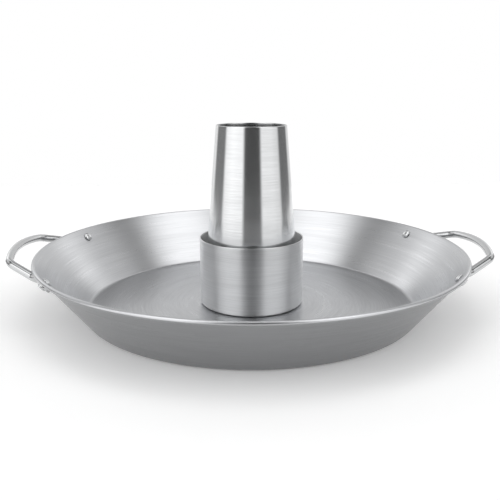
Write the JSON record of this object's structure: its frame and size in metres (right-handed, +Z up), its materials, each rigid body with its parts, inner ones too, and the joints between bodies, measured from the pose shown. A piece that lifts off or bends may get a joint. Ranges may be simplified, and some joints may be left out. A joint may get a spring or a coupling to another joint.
{
  "type": "upright poultry roaster",
  "caption": "Round flared steel roasting pan with looped rod handles, a central cup and a tapered open tube that holds a bird upright.",
  "frame": {"origin": "middle of the pan's underside, on the surface that the pan stands on", "axes": "+X runs through the right handle, +Y to the back, +Z up along the cone"},
  "size_m": [0.3678, 0.33, 0.1403],
  "materials": {
    "pan_steel": "spun stainless sheet, satin brushed round the axis",
    "cup_steel": "drawn stainless sheet, finely brushed",
    "cone_steel": "drawn stainless sheet, finely brushed and bright",
    "handle_steel": "polished stainless rod",
    "rivet_steel": "polished solid rivet"
  },
  "bodies": {
    "pan": {"pan": "pan_steel", "left_handle": "handle_steel", "right_handle": "handle_steel", "left_front_rivet": "rivet_steel", "left_rear_rivet": "rivet_steel", "right_front_rivet": "rivet_steel", "right_rear_rivet": "rivet_steel"},
    "cup": {"flavour_cup": "cup_steel"},
    "cone": {"infuser_cone": "cone_steel"}
  },
  "joints": [
    {"name": "cup_lift", "type": "slide", "parent": "pan", "child": "cup", "axis": [0, 0, 1], "range_m": [0, 0.08]},
    {"name": "cone_lift", "type": "slide", "parent": "cup", "child": "cone", "axis": [0, 0, 1], "range_m": [0, 0.08]}
  ]
}
